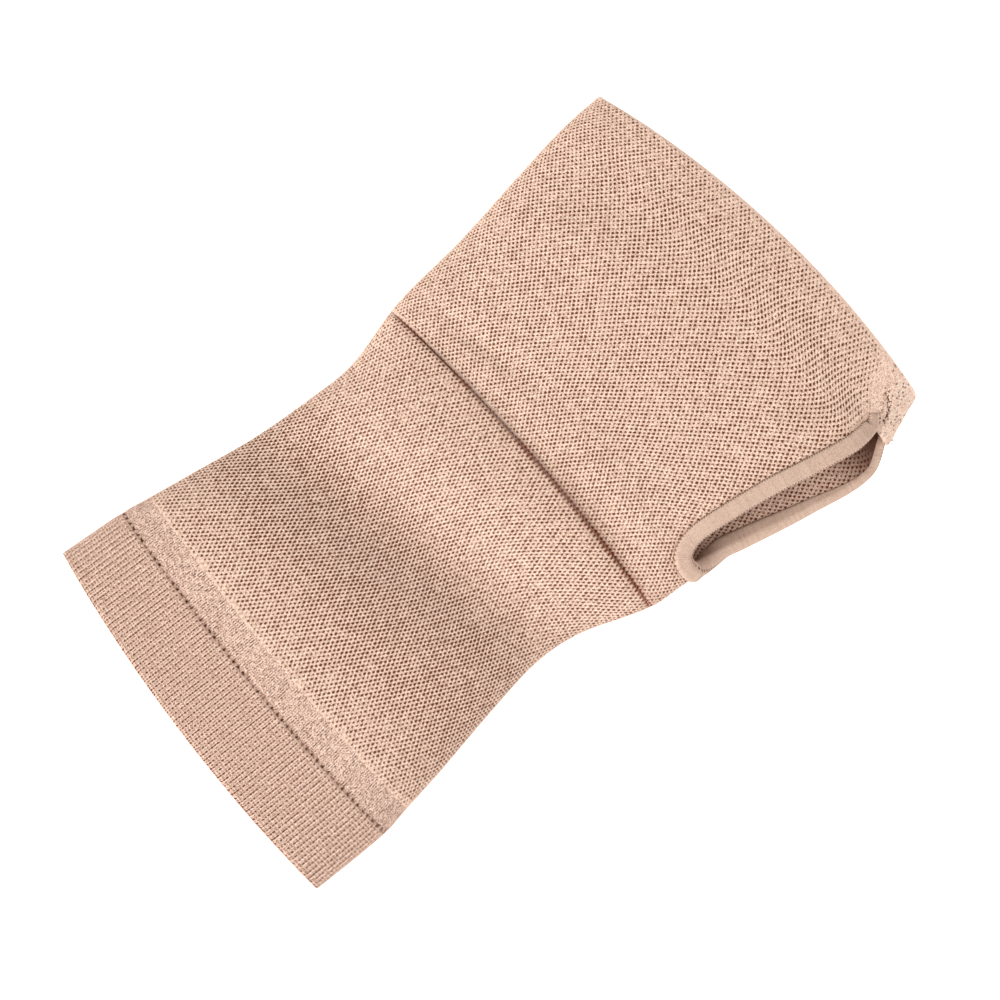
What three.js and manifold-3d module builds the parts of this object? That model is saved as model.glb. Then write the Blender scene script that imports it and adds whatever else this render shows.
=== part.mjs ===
// A wrist support glove: an elastic knitted tube, lying flat, with a slit for the thumb.
// Millimetres, +Z up from the surface it lies on, +Y towards the fingers, +X towards the thumb.

import * as THREE from "three";
import { ConvexGeometry } from "three/addons/geometries/ConvexGeometry.js";
import { ParametricGeometry } from "three/addons/geometries/ParametricGeometry.js";
import { mergeVertices } from "three/addons/utils/BufferGeometryUtils.js";
import Module from "manifold-3d";

const wasm = await Module();
wasm.setup();

// Clearance between neighbouring pieces
const GAP = 0.3;

// Ribs of the cuff, around the arm, and the depth of the furrow between two of them
const RIBS = 160;
const FURROW = 0.4;

// Thickness of each knitted wall
const CUFF_WALL = 1.8;
const BAND_WALL = 1.6;
const WRIST_WALL = 1.2;
const PALM_WALL = 1.6;

// The binding tape: its width over the cloth, its thickness, and how far it stands past the cut edge
const TAPE_WIDTH = 3.9;
const TAPE_LEG = 0.6;
const TAPE_RIM = 1.1;

// The overlocked web seam stands this far proud of the cloth, inside and out
const WEB_PROUD = 0.45;

// Where one piece ends and the next begins, along the arm, measured at the two folds
const CUFF_SEAM = -59.35;
const MESH_START = -53.2;
const WRIST_SEAM = 8.95;

// The crease at the wrist seam: how far the upper face dips to it, and over what reach, on the
// wrist's side and on the palm's
const CREASE_DIP = { wrist: 0.1, palm: 1.1 };
const CREASE_REACH = { wrist: 3, palm: 5 };

// How square the shoulders of the upper face are: 2 is an ellipse, more is flatter
const SHOULDER = 4;

// Sections of the flattened tube, from the arm to the fingers. Each has its little-finger fold
// (left) and its thumb fold (right), the bow of the line between them, the height of the upper
// face, and on the thumb side the height of the fold and the reach of the roll up to it.
const SECTIONS = [
  { leftX: -46.6, leftY: -73.2, rightX: 37.6, rightY: -77.8, bow: -2.5, top: 10.2, fold: 3.4, roll: 5.0 },
  { leftX: -45.0, leftY: -58.6, rightX: 37.8, rightY: -60.1, bow: -1.5, top: 11.0, fold: 3.4, roll: 5.0 },
  { leftX: -43.8, leftY: -52.6, rightX: 36.9, rightY: -53.8, bow: -1.1, top: 11.6, fold: 3.4, roll: 5.0 },
  { leftX: -42.0, leftY: -43.0, rightX: 35.5, rightY: -43.5, bow: -0.6, top: 11.8, fold: 3.4, roll: 5.0 },
  { leftX: -39.4, leftY: -29.0, rightX: 33.1, rightY: -29.0, bow: 0.0, top: 11.8, fold: 3.4, roll: 5.0 },
  { leftX: -38.1, leftY: -15.0, rightX: 31.4, rightY: -15.0, bow: 0.6, top: 11.9, fold: 3.4, roll: 5.0 },
  { leftX: -37.9, leftY: -5.0, rightX: 32.5, rightY: -5.0, bow: 1.2, top: 12.2, fold: 3.4, roll: 5.0 },
  { leftX: -41.0, leftY: 8.3, rightX: 37.7, rightY: 9.6, bow: 1.9, top: 11.8, fold: 3.8, roll: 6.0 },
  { leftX: -41.9, leftY: 15.0, rightX: 38.5, rightY: 17.2, bow: 2.2, top: 11.8, fold: 4.6, roll: 8.0 },
  { leftX: -42.3, leftY: 21.5, rightX: 39.2, rightY: 23.5, bow: 2.4, top: 11.95, fold: 5.0, roll: 9.5 },
  { leftX: -43.0, leftY: 29.5, rightX: 42.4, rightY: 31.5, bow: 2.7, top: 12.6, fold: 5.2, roll: 11.0 },
  { leftX: -45.0, leftY: 44.0, rightX: 46.4, rightY: 47.0, bow: 3.2, top: 13.3, fold: 5.2, roll: 11.0 },
  { leftX: -46.4, leftY: 55.0, rightX: 48.3, rightY: 60.0, bow: 3.7, top: 13.2, fold: 5.0, roll: 11.0 },
  { leftX: -46.8, leftY: 61.0, rightX: 43.0, rightY: 67.6, bow: 4.0, top: 12.9, fold: 4.4, roll: 9.0 },
  { leftX: -46.9, leftY: 67.8, rightX: 39.2, rightY: 77.6, bow: 4.5, top: 12.1, fold: 3.8, roll: 6.0 },
];
const LEFT_FOLD = 3.4;
const LEFT_ROLL = 5.0;

// Soft folds and swells of the upper face: middle, bearing of the ridge from +X, half length,
// half width and height
const FOLDS = [
  { x: 0, y: -15.5, bearing: 14, length: 90, width: 12, height: -3.4 },
  { x: -25, y: 17.5, bearing: 12, length: 14, width: 3, height: -0.4 },
  { x: 17, y: 14.5, bearing: -5, length: 12, width: 3.5, height: -0.4 },
  { x: -30, y: 44, bearing: 32, length: 14, width: 6, height: 0.5 },
  { x: -34, y: 72, bearing: 25, length: 14, width: 8, height: 0.7 },
  { x: 29, y: 64, bearing: 70, length: 9, width: 3, height: -1.0 },
];

// The thumb slit: the cut edge of the upper face in plan, from the tip of the slit to the web seam
const FRONT_EDGE = [
  { x: 36.5, y: 21.0 },
  { x: 34.4, y: 21.5 },
  { x: 33.1, y: 24.6 },
  { x: 33.3, y: 30.0 },
  { x: 35.3, y: 42.5 },
  { x: 37.6, y: 52.5 },
  { x: 39.3, y: 61.0 },
  { x: 38.9, y: 66.0 },
];
// The same edge down round the fold and along the lower face, by its height
const BACK_EDGE = [
  { y: 21.4, z: 6.0 },
  { y: 22.6, z: 4.9 },
  { y: 24.2, z: 4.1 },
  { y: 26.5, z: 3.4 },
  { y: 30.0, z: 2.8 },
  { y: 48.0, z: 2.6 },
  { y: 66.0, z: 2.6 },
];
// The slit is cut square to the cloth this far from its edge, and plainly in between
const CUT_REACH = 4.2;
const CUT_LIFT = 3.0;
const CUT_LAP = 0.05;
const CUT_HEIGHT = 4.6;
const CUT_START = 24.0;

// Where the mesh meets the overlocked web seam on each face: a line from the end of the slit to past
// the finger edge, and the seam's own start
const WEB_FRONT = { x: 38.3, farX: 28.8 };
const WEB_BACK = { x: 41.1, farX: 30.8 };
const WEB_CUT = 65.6;
const WEB_START = 66.8;
const WEB_FAR = 80.8;

// Heights and a reach that lie outside the part
const BELOW_PART = -5;
const ABOVE_PART = 25;
const PAST_PART = 90;

// Facets: around the tube, along each piece, and along and around the tape
const RING_FACETS = 44;
const CUFF_ROWS = 1;
const BAND_ROWS = 1;
const WRIST_ROWS = 10;
const PALM_ROWS = 13;
const FRONT_STEPS = 24;
const BACK_STEPS = 17;
const TAPE_FACETS = 8;
const GIRTH_STEPS = 2000;
const HALVINGS = 30;
// How much closer together the rows of a tube lie at its ends, from 0 to 1
const END_CROWDING = 0.6;

// Colours of the knit and the tape
const MESH = 0xd7b5a3;
const CUFF = 0xcdaa95;
const BAND = 0xd3b09c;
const TAPE = 0xdabba7;
const material = (color, roughness) => new THREE.MeshStandardMaterial({ color, roughness, metalness: 0 });

// One column of the section table at a station along the arm, as a smooth curve
const station = (row) => (row.leftY + row.rightY) / 2;
function column(name, along) {
  const last = SECTIONS.length - 1;
  let i = SECTIONS.findIndex((row) => station(row) >= along);
  i = THREE.MathUtils.clamp(i < 0 ? last : i, 1, last);
  const slope = (k) => {
    const before = SECTIONS[Math.max(k - 1, 0)];
    const after = SECTIONS[Math.min(k + 1, last)];
    return (after[name] - before[name]) / (station(after) - station(before));
  };
  const [a, b] = [SECTIONS[i - 1], SECTIONS[i]];
  const span = station(b) - station(a);
  const t = (along - station(a)) / span;
  const rise = b[name] - a[name];
  const [m0, m1] = [slope(i - 1) * span, slope(i) * span];
  return a[name] + t * (m0 + t * (3 * rise - 2 * m0 - m1 + t * (m0 + m1 - 2 * rise)));
}

// How far the soft folds raise the upper face at a point in plan
function foldHeight(x, y) {
  let height = 0;
  for (const fold of FOLDS) {
    const turn = THREE.MathUtils.degToRad(fold.bearing);
    const [dx, dy] = [x - fold.x, y - fold.y];
    const along = (dx * Math.cos(turn) + dy * Math.sin(turn)) / fold.length;
    const across = (dy * Math.cos(turn) - dx * Math.sin(turn)) / fold.width;
    height += fold.height * Math.exp(-along * along - across * across);
  }
  return height;
}

// A point of the tube wall. ring runs from the left fold over the upper face (0 to 1) and back
// under the lower face (1 to 2); inset is the depth below the outer surface.
function wallPoint(along, ring, inset, target = new THREE.Vector3()) {
  const left = column("leftX", along) + inset;
  const right = column("rightX", along) - inset;
  const half = (right - left) / 2;
  const side = -Math.cos(Math.PI * ring);
  const x = (left + right) / 2 + half * side;
  const y = THREE.MathUtils.lerp(column("leftY", along), column("rightY", along), (side + 1) / 2)
    + column("bow", along) * (1 - side * side);
  const fold = side < 0 ? LEFT_FOLD : column("fold", along);
  const roll = side < 0 ? LEFT_ROLL : column("roll", along);
  const edge = along < WRIST_SEAM ? "wrist" : "palm";
  const crease = CREASE_DIP[edge] * Math.exp(-(((along - WRIST_SEAM) / CREASE_REACH[edge]) ** 2));
  const top = column("top", along) - crease - inset + foldHeight(x, y);
  const shoulder = Math.sqrt(Math.max(0, 1 - Math.abs(side) ** SHOULDER));
  const climb = Math.max(0, 1 - (1 - Math.abs(side)) * half / roll);
  const upper = fold + (top - fold) * shoulder;
  const lower = inset + (fold - inset) * (1 - Math.sqrt(1 - climb * climb));
  return target.set(x, y, ring <= 1 ? upper : lower);
}

// A closed geometry as a solid that can be joined and cut, with its shared corners merged
function toSolid(geometry) {
  const plain = geometry.clone();
  plain.deleteAttribute("normal");
  plain.deleteAttribute("uv");
  const merged = mergeVertices(plain, 1e-4);
  const corners = Array.from(merged.index.array);
  const triVerts = [];
  for (let i = 0; i < corners.length; i += 3) {
    const [a, b, c] = corners.slice(i, i + 3);
    if (a !== b && b !== c && c !== a) triVerts.push(a, b, c);
  }
  const mesh = new wasm.Mesh({
    numProp: 3,
    vertProperties: new Float32Array(merged.attributes.position.array),
    triVerts: new Uint32Array(triVerts),
  });
  return new wasm.Manifold(mesh);
}

// A finished solid as a named mesh
function toMesh(name, solid, look) {
  const { vertProperties, triVerts } = solid.getMesh();
  const geometry = new THREE.BufferGeometry();
  geometry.setAttribute("position", new THREE.Float32BufferAttribute(vertProperties, 3));
  geometry.setIndex(Array.from(triVerts));
  geometry.computeVertexNormals();
  const mesh = new THREE.Mesh(geometry, look);
  mesh.name = name;
  return mesh;
}

// Places around a section, in equal steps of the ring, or as ribs in equal steps of its girth with
// every second place sunk into a furrow
const plainRings = Array.from({ length: RING_FACETS }, (_, i) => ({ ring: 2 * i / RING_FACETS, sink: 0 }));
function ribRings(along) {
  const reach = [0];
  for (let k = 1; k <= GIRTH_STEPS; k++) {
    const [a, b] = [k - 1, k].map((step) => wallPoint(along, 2 * step / GIRTH_STEPS, 0));
    reach.push(reach[k - 1] + a.distanceTo(b));
  }
  return Array.from({ length: 2 * RIBS }, (_, i) => {
    const target = reach[GIRTH_STEPS] * i / (2 * RIBS);
    const k = reach.findIndex((length) => length > target);
    const step = k - (reach[k] - target) / (reach[k] - reach[k - 1]);
    return { ring: 2 * step / GIRTH_STEPS, sink: i % 2 ? FURROW : 0 };
  });
}

// A length of tube between two stations, as a wall from one depth to another. Its rows lie
// closer together at both ends, where the cloth turns most.
function tube(from, to, rows, outer, inner, rings = plainRings) {
  const lip = (inner - outer) / 4;
  const stops = [];
  for (let row = 0; row <= rows; row++) {
    const share = row / rows;
    const crowded = (1 - Math.cos(Math.PI * share)) / 2;
    const along = THREE.MathUtils.lerp(from, to, THREE.MathUtils.lerp(share, crowded, END_CROWDING));
    stops.push({ along, depth: outer });
  }
  const middle = (outer + inner) / 2;
  stops[0].along += lip;
  stops[rows].along -= lip;
  const back = stops.map((stop) => ({ along: stop.along, depth: inner })).reverse();
  const loop = [...stops, { along: to, depth: middle }, ...back, { along: from, depth: middle }];
  const wall = (u, v, target) => {
    const { along, depth } = loop[Math.round(v * loop.length) % loop.length];
    const { ring, sink } = rings[Math.round(u * rings.length) % rings.length];
    wallPoint(along, ring, depth === outer ? depth + sink : depth, target);
  };
  return toSolid(new ParametricGeometry(wall, rings.length, loop.length));
}

// The middle of the palm's wall, and its outward normal
const midWall = (along, ring) => wallPoint(along, ring, PALM_WALL / 2);
function midWallNormal(along, ring) {
  const step = 0.01;
  const around = midWall(along, ring + step).sub(midWall(along, ring - step));
  const lengthways = midWall(along + step, ring).sub(midWall(along - step, ring));
  return around.cross(lengthways).normalize();
}

// The place on the thumb side of the wall, with a given y, where a measure has come down to a limit
function placeWhere(y, measure) {
  const place = { along: y, ring: 1 };
  let [before, after] = [0.5, 1.5];
  for (let step = 0; step < HALVINGS; step++) {
    place.ring = (before + after) / 2;
    const point = midWall(place.along, place.ring);
    if (measure(point, place.ring) > 0) before = place.ring;
    else after = place.ring;
    place.along += y - point.y;
  }
  return place;
}
const placeInPlan = ({ x, y }) => placeWhere(y, (point, ring) => (ring < 1 ? x - point.x : -1));
const placeAtHeight = ({ y, z }) => placeWhere(y, (point) => point.z - z);

// The route of the cut edge: down the upper face, round the tip of the slit, and up the lower face
function cutRoute() {
  const front = new THREE.SplineCurve(FRONT_EDGE.map(({ x, y }) => new THREE.Vector2(x, y)));
  const back = new THREE.SplineCurve(BACK_EDGE.map(({ y, z }) => new THREE.Vector2(y, z)));
  const places = [
    ...front.getSpacedPoints(FRONT_STEPS).reverse().map(placeInPlan),
    ...back.getSpacedPoints(BACK_STEPS).map(({ x, y }) => placeAtHeight({ y: x, z: y })),
  ];
  const centres = places.map(({ along, ring }) => midWall(along, ring));
  return places.map(({ along, ring }, i) => {
    const before = centres[Math.max(i - 1, 0)];
    const after = centres[Math.min(i + 1, centres.length - 1)];
    const normal = midWallNormal(along, ring);
    const tangent = after.clone().sub(before).normalize();
    const inward = normal.clone().cross(tangent).normalize();
    return { centre: centres[i], tangent, normal, inward };
  });
}
const route = cutRoute();
const offRoute = (frame, reach, lift, ahead = 0) => frame.centre.clone()
  .addScaledVector(frame.inward, reach)
  .addScaledVector(frame.normal, lift)
  .addScaledVector(frame.tangent, ahead);

// A block beyond a line in plan, between two heights
function blockBeyond(line, low, high) {
  const ends = [line[line.length - 1], line[0]].map(({ y }) => new THREE.Vector2(PAST_PART, y));
  const shape = new THREE.Shape([...line, ...ends]);
  const block = new THREE.ExtrudeGeometry(shape, { depth: high - low, bevelEnabled: false });
  return toSolid(block.translate(0, 0, low));
}

// All that the slit takes away, set back from the cut edge by a clearance
function slitRegion(clearance) {
  const middle = FRONT_EDGE.slice(2).map(({ x, y }) => new THREE.Vector2(x + CUT_REACH / 2, y));
  middle.unshift(new THREE.Vector2(middle[0].x, CUT_START));
  let region = blockBeyond(middle, CUT_HEIGHT, ABOVE_PART);
  for (let i = 1; i < route.length; i++) {
    const corners = [];
    for (const [frame, ahead] of [[route[i - 1], -CUT_LAP], [route[i], CUT_LAP]]) {
      for (const reach of [clearance, CUT_REACH]) {
        for (const lift of [-CUT_LIFT, CUT_LIFT]) corners.push(offRoute(frame, reach, lift, ahead));
      }
    }
    region = region.add(toSolid(new ConvexGeometry(corners)));
  }
  return region;
}

// All that the web seam fills from a start along the arm, set back from the mesh by a clearance
function webRegion(start, clearance, lowest) {
  const line = ({ x, farX }) => {
    const share = (start - WEB_CUT) / (WEB_FAR - WEB_CUT);
    const startX = THREE.MathUtils.lerp(x, farX, share);
    return [new THREE.Vector2(startX + clearance, start), new THREE.Vector2(farX + clearance, WEB_FAR)];
  };
  const upper = blockBeyond(line(WEB_FRONT), CUT_HEIGHT, ABOVE_PART);
  return upper.add(blockBeyond(line(WEB_BACK), lowest, CUT_HEIGHT));
}

// The tape before the cloth is let into it: a bar of rounded section, closed at both ends
function tapeBar() {
  const thickness = PALM_WALL + 2 * (GAP + TAPE_LEG);
  const middle = TAPE_RIM - TAPE_WIDTH / 2;
  const round = (value) => Math.sign(value) * Math.sqrt(Math.abs(value));
  const rows = route.length + 1;
  const bar = (u, v, target) => {
    const row = Math.round(v * rows);
    const frame = route[THREE.MathUtils.clamp(row - 1, 0, route.length - 1)];
    const size = row === 0 || row === rows ? 0 : 1;
    const angle = 2 * Math.PI * ((Math.round(u * TAPE_FACETS) % TAPE_FACETS) + 0.5) / TAPE_FACETS;
    const reach = middle + size * round(Math.cos(angle)) * TAPE_WIDTH / 2;
    target.copy(offRoute(frame, reach, size * round(Math.sin(angle)) * thickness / 2));
  };
  return toSolid(new ParametricGeometry(bar, TAPE_FACETS, rows));
}

const cuffEnd = station(SECTIONS[0]);
const fingerEdge = station(SECTIONS[SECTIONS.length - 1]);
const cuffRings = ribRings((cuffEnd + CUFF_SEAM) / 2);
const cuff = tube(cuffEnd, CUFF_SEAM - GAP / 2, CUFF_ROWS, 0, CUFF_WALL, cuffRings);
const band = tube(CUFF_SEAM + GAP / 2, MESH_START - GAP / 2, BAND_ROWS, 0, BAND_WALL);
const wrist = tube(MESH_START + GAP / 2, WRIST_SEAM - GAP / 2, WRIST_ROWS, 0, WRIST_WALL);
const palmStart = WRIST_SEAM + GAP / 2;
const palmTube = (proud) => tube(palmStart - proud, fingerEdge, PALM_ROWS, -proud, PALM_WALL + proud);

const webCut = webRegion(WEB_CUT, 0, BELOW_PART);
const palm = palmTube(0).subtract(slitRegion(0)).subtract(webCut);
const clothInTape = palmTube(GAP).subtract(slitRegion(GAP)).subtract(webCut);
const binding = tapeBar().subtract(clothInTape);
const webSeam = palmTube(WEB_PROUD).intersect(webRegion(WEB_START, GAP, 0));

const glove = new THREE.Group();
glove.add(
  toMesh("rib_cuff", cuff, material(CUFF, 0.85)),
  toMesh("seam_band", band, material(BAND, 0.85)),
  toMesh("wrist_sleeve", wrist, material(MESH, 0.8)),
  toMesh("palm_sleeve", palm, material(MESH, 0.8)),
  toMesh("thumb_binding", binding, material(TAPE, 0.5)),
  toMesh("web_seam", webSeam, material(BAND, 0.8)),
);

export default glove;
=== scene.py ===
# A wrist support glove: an elastic knitted tube, lying flat, with a bound slit for the thumb.
# Metres, +Z up from the surface it lies on, +Y towards the fingers, +X towards the thumb.

import math

import bmesh
import bpy
import numpy as np
from mathutils import Matrix, Vector


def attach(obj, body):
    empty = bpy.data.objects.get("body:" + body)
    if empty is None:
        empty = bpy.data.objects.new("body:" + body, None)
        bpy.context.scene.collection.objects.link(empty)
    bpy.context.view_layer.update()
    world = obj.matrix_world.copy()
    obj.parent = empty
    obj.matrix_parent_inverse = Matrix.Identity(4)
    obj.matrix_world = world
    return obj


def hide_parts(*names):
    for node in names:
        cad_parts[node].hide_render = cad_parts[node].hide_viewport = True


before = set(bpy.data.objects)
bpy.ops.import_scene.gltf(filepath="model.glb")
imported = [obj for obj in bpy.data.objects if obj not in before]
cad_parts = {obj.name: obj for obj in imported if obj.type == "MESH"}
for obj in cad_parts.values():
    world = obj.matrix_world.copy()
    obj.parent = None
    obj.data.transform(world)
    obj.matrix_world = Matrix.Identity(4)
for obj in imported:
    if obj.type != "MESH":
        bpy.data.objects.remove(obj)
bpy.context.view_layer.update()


# Rib cuff
# The band round the forearm: one-by-one rib knit in elastic yarn, its ribs along the arm. It is
# folded double, so its lower edge is round, and sewn to the sleeve along its upper edge.

MM = 0.001

# Sections of the flattened tube, in millimetres, from the arm to the fingers: its little-finger
# fold (left) and thumb fold (right), the bow of the line between them, the height of the upper
# face, and on the thumb side the height of the fold and the reach of the roll up to it
SECTION_COLUMNS = ("left_x", "left_y", "right_x", "right_y", "bow", "top", "fold", "roll")
SECTIONS = np.array([
    (-46.6, -73.2, 37.6, -77.8, -2.5, 10.2, 3.4, 5.0),
    (-45.0, -58.6, 37.8, -60.1, -1.5, 11.0, 3.4, 5.0),
    (-43.8, -52.6, 36.9, -53.8, -1.1, 11.6, 3.4, 5.0),
    (-42.0, -43.0, 35.5, -43.5, -0.6, 11.8, 3.4, 5.0),
    (-39.4, -29.0, 33.1, -29.0, 0.0, 11.8, 3.4, 5.0),
    (-38.1, -15.0, 31.4, -15.0, 0.6, 11.9, 3.4, 5.0),
    (-37.9, -5.0, 32.5, -5.0, 1.2, 12.2, 3.4, 5.0),
    (-41.0, 8.3, 37.7, 9.6, 1.9, 11.8, 3.8, 6.0),
    (-41.9, 15.0, 38.5, 17.2, 2.2, 11.8, 4.6, 8.0),
    (-42.3, 21.5, 39.2, 23.5, 2.4, 11.95, 5.0, 9.5),
    (-43.0, 29.5, 42.4, 31.5, 2.7, 12.6, 5.2, 11.0),
    (-45.0, 44.0, 46.4, 47.0, 3.2, 13.3, 5.2, 11.0),
    (-46.4, 55.0, 48.3, 60.0, 3.7, 13.2, 5.0, 11.0),
    (-46.8, 61.0, 43.0, 67.6, 4.0, 12.9, 4.4, 9.0),
    (-46.9, 67.8, 39.2, 77.6, 4.5, 12.1, 3.8, 6.0),
])
STATIONS = (SECTIONS[:, 1] + SECTIONS[:, 3]) / 2

# The same on the little-finger side, and how square the shoulders of a section are
LEFT_FOLD = 3.4
LEFT_ROLL = 5.0
SHOULDER = 4

# Soft folds and swells of the upper face: middle, bearing of the ridge from +X in degrees, half
# length, half width and height
FOLDS = (
    (0, -15.5, 14, 90, 12, -3.4),
    (-25, 17.5, 12, 14, 2.6, -0.8),
    (17, 14.5, -5, 12, 3.5, -0.6),
    (-30, 44, 32, 14, 6, 0.5),
    (-34, 72, 25, 14, 8, 0.7),
    (29, 64, 70, 9, 3, -1.0),
)

# The crease at the seam between the wrist and the palm: how far the upper face dips to it, and
# over what reach, on the wrist's side and on the palm's
WRIST_SEAM = 8.95
WRIST_DIP = (0.1, 3.0)
PALM_DIP = (1.1, 5.0)


def smooth_step_on(t, start, rise, leaving, arriving):
    """A smooth curve's value at a share t of a step, from its rise and its slopes at both ends."""
    bend = 3 * rise - 2 * leaving - arriving
    return start + t * (leaving + t * (bend + t * (leaving + arriving - 2 * rise)))


def smooth_column(values, at):
    """A table's column as a smooth curve through its rows, at stations along the arm."""
    last = len(STATIONS) - 1
    before = np.maximum(np.arange(last + 1) - 1, 0)
    after = np.minimum(np.arange(last + 1) + 1, last)
    slopes = (values[after] - values[before]) / (STATIONS[after] - STATIONS[before])
    i = np.clip(np.searchsorted(STATIONS, at), 1, last)
    span = STATIONS[i] - STATIONS[i - 1]
    t = (at - STATIONS[i - 1]) / span
    rise = values[i] - values[i - 1]
    return smooth_step_on(t, values[i - 1], rise, slopes[i - 1] * span, slopes[i] * span)


def section(name, along):
    return smooth_column(SECTIONS[:, SECTION_COLUMNS.index(name)], along)


def fold_height(x, y):
    """How far the soft folds raise the upper face at a point in plan."""
    height = 0
    for fold_x, fold_y, bearing, length, width, rise in FOLDS:
        turn = math.radians(bearing)
        dx = x - fold_x
        dy = y - fold_y
        along = (dx * math.cos(turn) + dy * math.sin(turn)) / length
        across = (dy * math.cos(turn) - dx * math.sin(turn)) / width
        height = height + rise * np.exp(-along ** 2 - across ** 2)
    return height


def wall_point(along, ring, inset):
    """Points of the tube's wall, in millimetres. ring runs from the left fold over the upper face
    (0 to 1) and back under the lower face (1 to 2); inset is the depth below the outer surface."""
    along, ring, inset = np.broadcast_arrays(along, ring, inset)
    left = section("left_x", along) + inset
    right = section("right_x", along) - inset
    half = (right - left) / 2
    side = -np.cos(np.pi * ring)
    x = (left + right) / 2 + half * side
    left_y = section("left_y", along)
    y = left_y + (section("right_y", along) - left_y) * (side + 1) / 2
    y = y + section("bow", along) * (1 - side ** 2)
    fold = np.where(side < 0, LEFT_FOLD, section("fold", along))
    roll = np.where(side < 0, LEFT_ROLL, section("roll", along))
    dip = np.where(along < WRIST_SEAM, WRIST_DIP[0], PALM_DIP[0])
    reach = np.where(along < WRIST_SEAM, WRIST_DIP[1], PALM_DIP[1])
    crease = dip * np.exp(-((along - WRIST_SEAM) / reach) ** 2)
    top = section("top", along) - crease - inset + fold_height(x, y)
    upper = fold + (top - fold) * np.sqrt(np.maximum(0, 1 - np.abs(side) ** SHOULDER))
    climb = np.maximum(0, 1 - (1 - np.abs(side)) * half / roll)
    lower = inset + (fold - inset) * (1 - np.sqrt(1 - climb ** 2))
    return np.stack([x, y, np.where(ring <= 1, upper, lower)], axis=-1)


RING_SAMPLES = 801


def even_rings(along, columns):
    """The ring places of evenly spaced wales at each station: a row for each station."""
    fine = np.linspace(0, 2, RING_SAMPLES)
    rings = []
    for station in along:
        steps = np.linalg.norm(np.diff(wall_point(station, fine, 0), axis=0), axis=1)
        reach = np.concatenate([[0], np.cumsum(steps)])
        rings.append(np.interp(np.linspace(0, reach[-1], columns + 1), reach, fine))
    return np.array(rings)


LIP_TURNS = np.radians((15, 40, 65))


def tube_rows(start, end, spacing, start_lip, end_lip):
    """The rows of a tube between two stations: each row's station, its course of stitches and how
    deep it lies where an edge rolls in. A lip is the roll's reach and depth."""
    first = start + start_lip[0]
    last = end - end_lip[0]
    count = round((last - first) / spacing)
    reach = 1 - np.cos(LIP_TURNS)
    drop = 1 - np.sin(LIP_TURNS)
    along = np.concatenate([
        start + start_lip[0] * reach,
        np.linspace(first, last, count + 1),
        (end - end_lip[0] * reach)[::-1],
    ])
    lip = np.concatenate([start_lip[1] * drop, np.zeros(count + 1), end_lip[1] * drop[::-1]])
    run = np.concatenate([[0], np.cumsum(np.hypot(np.diff(along), np.diff(lip)))])
    course = (run - run[len(LIP_TURNS)]) * count / (last - first)
    return along, course, lip


# The strips of the bake map for the two walls of a sheet, as start and width, the lines for its
# rim, and the reach within which points are joined, in metres
OUTER_SHARE = (0.46, 0.54)
INNER_SHARE = (0.0, 0.44)
RIM_LINES = (0.447, 0.453)
WELD = 1e-7


def thick_sheet(wales, courses, place, wrapped=False, cut=None, marks=None):
    """A sheet of cloth as a closed double wall over a grid of stitches. place gives the points, in
    millimetres, of grid lines i and j on the inner (0) or outer (1) side; cut says which squares
    of the grid are left out; marks are values for the material at each grid point. The inner wall
    is marked as well."""
    bm = bmesh.new()
    columns = len(wales) - 1
    rows = len(courses) - 1
    bmesh.ops.create_grid(bm, x_segments=columns, y_segments=rows, size=0.5)
    knit = bm.loops.layers.uv.new("knit")
    bake = bm.loops.layers.uv.new("OFBake")
    spot = bm.verts.layers.float_vector.new("spot")
    for vert in bm.verts:
        vert[spot] = ((vert.co.x + 0.5) * columns, (vert.co.y + 0.5) * rows, 0)
    for face in bm.faces:
        for loop in face.loops:
            i, j, _ = loop.vert[spot]
            loop[knit].uv = (wales[round(i)], courses[round(j)])
    if cut is not None:
        corners = np.array([[loop.vert[spot][:2] for loop in face.loops] for face in bm.faces])
        left_out = cut(*np.floor(corners.mean(axis=1)).astype(int).T)
        doomed = [face for face, gone in zip(bm.faces, left_out) if gone]
        bmesh.ops.delete(bm, geom=doomed, context="FACES")
    layers = {name: bm.verts.layers.float.new(name) for name in marks or {}}
    inside = bm.verts.layers.float.new("inside")

    def settle(verts, side):
        i, j = np.array([vert[spot][:2] for vert in verts]).round().astype(int).T
        for vert, point in zip(verts, place(i, j, side) * MM):
            vert.co = point
            vert[spot].z = side
            vert[inside] = 1 - side
        for name, layer in layers.items():
            for vert, value in zip(verts, marks[name](i, j)):
                vert[layer] = value

    settle(bm.verts[:], 0)
    if wrapped:
        bmesh.ops.remove_doubles(bm, verts=bm.verts[:], dist=WELD)
    geometry = bm.verts[:] + bm.edges[:] + bm.faces[:]
    grown = bmesh.ops.extrude_face_region(bm, geom=geometry, use_keep_orig=True)["geom"]
    settle([element for element in grown if isinstance(element, bmesh.types.BMVert)], 1)
    for face in bm.faces:
        sides = [round(loop.vert[spot].z) for loop in face.loops]
        rim = min(sides) != max(sides)
        for loop, side in zip(face.loops, sides):
            x, y = loop[knit].uv
            low, share = OUTER_SHARE if side else INNER_SHARE
            x = (x - wales[0]) / (wales[-1] - wales[0])
            y = (y - courses[0]) / (courses[-1] - courses[0])
            loop[bake].uv = (x, RIM_LINES[side] if rim else low + share * y)
    bm.verts.layers.float_vector.remove(spot)
    return bm


def soft_step(value, low, high):
    """0 below low, 1 above high and a soft step between."""
    t = np.clip((value - low) / (high - low), 0, 1)
    return t * t * (3 - 2 * t)


def rising_from(low, share):
    """A share that starts at low instead of 0."""
    return low + (1 - low) * share


# The share of its roll that an edge keeps at a fold, and the ring places over which it gets it all
CORNER_LIP = 0.25
CORNER_REACH = 0.1


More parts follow.
